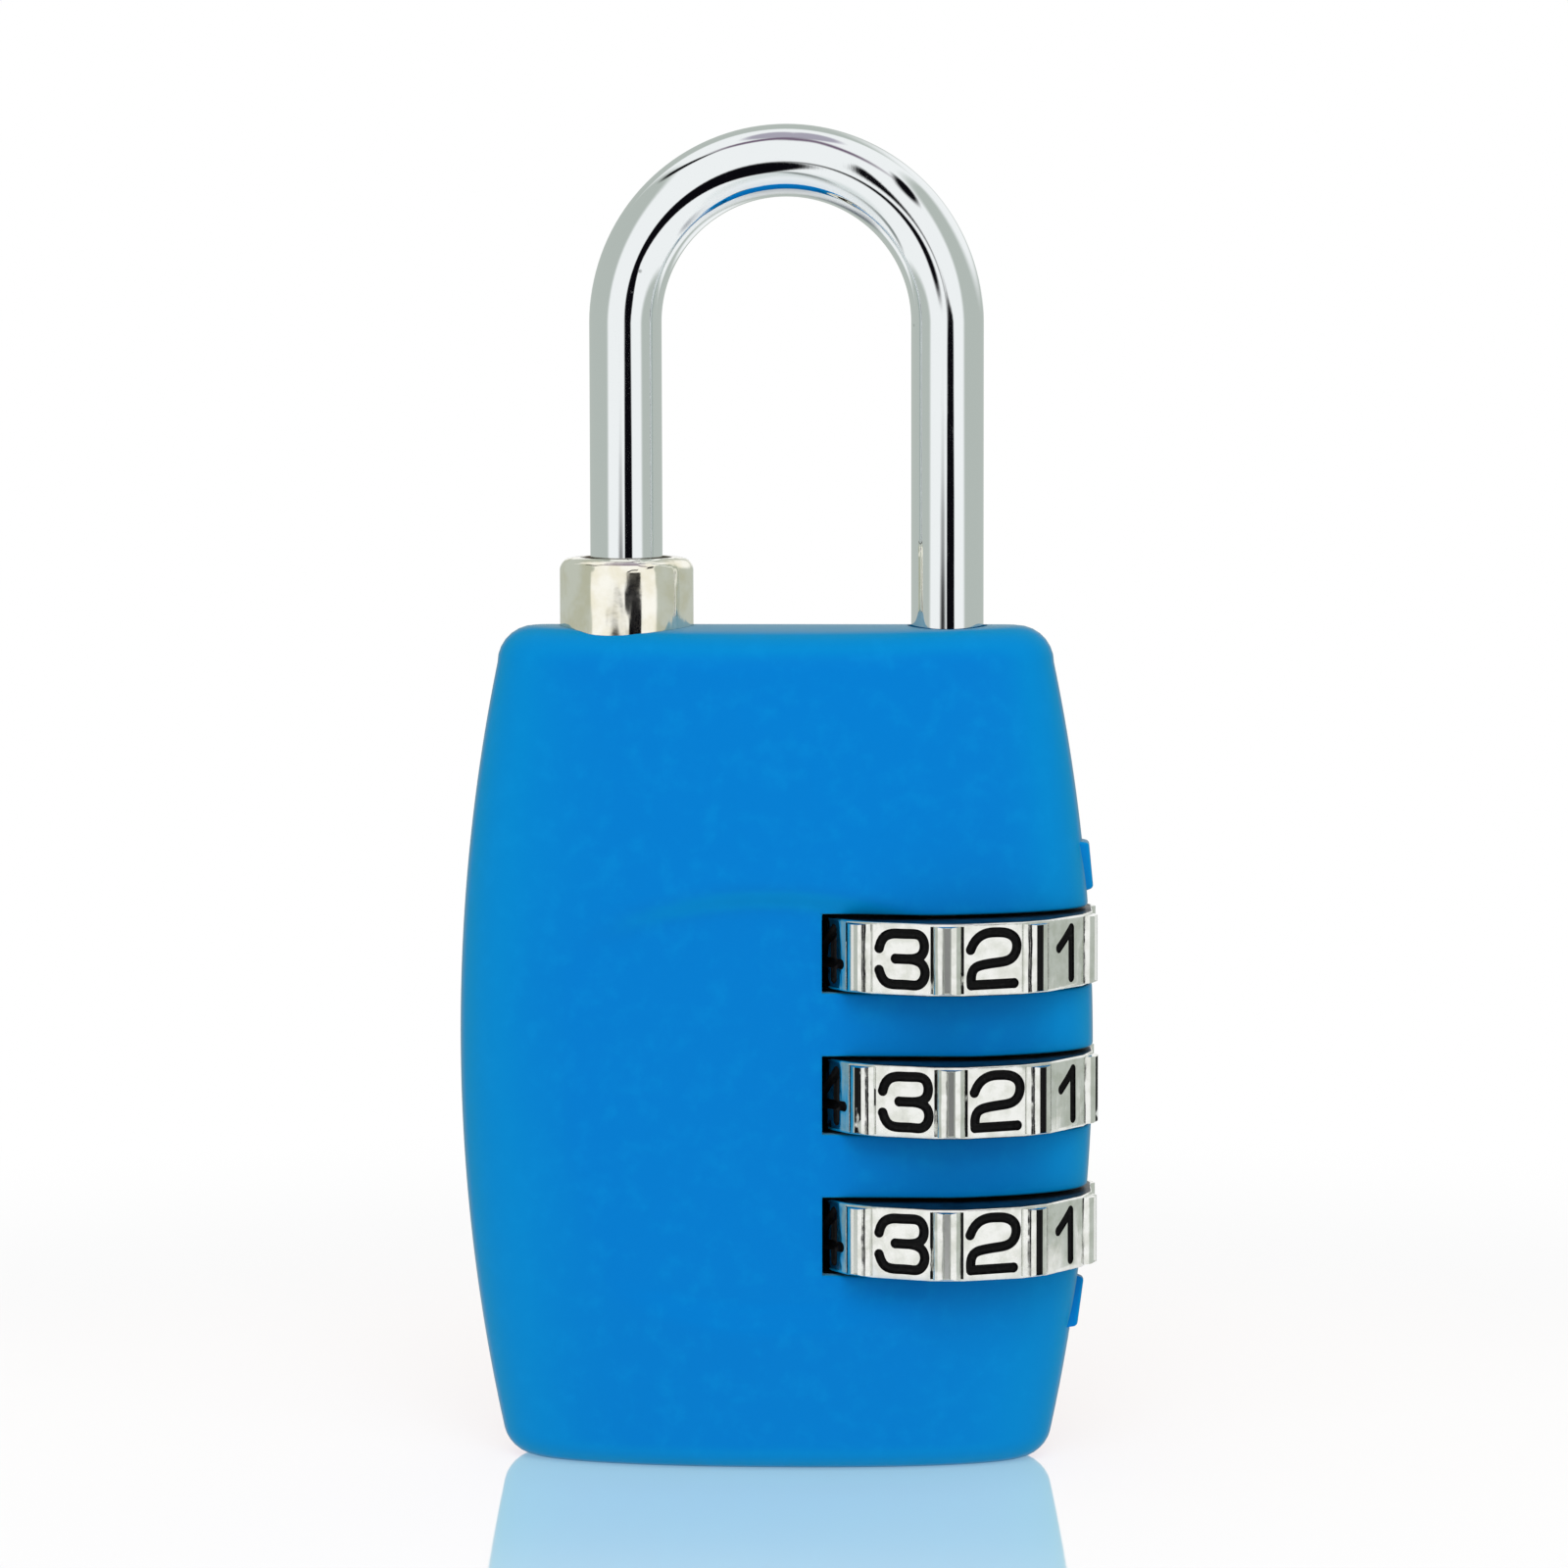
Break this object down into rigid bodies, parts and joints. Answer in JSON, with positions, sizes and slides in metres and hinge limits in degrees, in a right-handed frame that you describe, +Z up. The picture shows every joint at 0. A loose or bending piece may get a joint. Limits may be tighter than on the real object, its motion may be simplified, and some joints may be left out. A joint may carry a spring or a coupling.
{
  "type": "combination padlock",
  "caption": "Small combination luggage padlock: blue moulded case round a die-cast core, chrome shackle that lifts, numbered dials that turn.",
  "frame": {"origin": "middle of the case's underside, on which the padlock stands", "axes": "+Z up along the shackle legs, +X towards the dials, +Y towards the back"},
  "size_m": [0.0312, 0.0154, 0.065],
  "materials": {
    "case_plastic": "satin moulded",
    "cast_zinc": "as cast",
    "collar_nickel": "nickel plated",
    "plated_steel": "zinc plated",
    "spring_steel": "bright drawn",
    "tumbler_brass": "turned",
    "shackle_chrome": "polished",
    "dial_chrome": "plated, digits filled with black paint"
  },
  "bodies": {
    "case": {"housing_shell": "case_plastic", "back_cover": "case_plastic", "core_frame": "cast_zinc", "collar": "collar_nickel", "closing_plate": "plated_steel", "plate_screw_front": "plated_steel", "plate_screw_back": "plated_steel", "detent_leaf": "spring_steel", "leaf_pin_upper": "plated_steel", "leaf_pin_lower": "plated_steel", "reset_spring": "spring_steel", "spring_seat": "tumbler_brass"},
    "shackle": {"shackle": "shackle_chrome", "stop_ring": "spring_steel"},
    "dial_top": {"dial_top": "dial_chrome", "tumbler_top": "tumbler_brass"},
    "dial_middle": {"dial_middle": "dial_chrome", "tumbler_middle": "tumbler_brass"},
    "dial_bottom": {"dial_bottom": "dial_chrome", "tumbler_bottom": "tumbler_brass"}
  },
  "joints": [
    {"name": "shackle_lift", "type": "slide", "parent": "case", "child": "shackle", "axis": [0, 0, 1], "range_m": [0, 0.0046]},
    {"name": "dial_top_spin", "type": "hinge", "parent": "case", "child": "dial_top", "pos_m": [0.00835, 0, 0.0253], "axis": [0, 0, 1], "continuous": true},
    {"name": "dial_middle_spin", "type": "hinge", "parent": "case", "child": "dial_middle", "pos_m": [0.00835, 0, 0.01845], "axis": [0, 0, 1], "continuous": true},
    {"name": "dial_bottom_spin", "type": "hinge", "parent": "case", "child": "dial_bottom", "pos_m": [0.00835, 0, 0.0116], "axis": [0, 0, 1], "continuous": true}
  ]
}
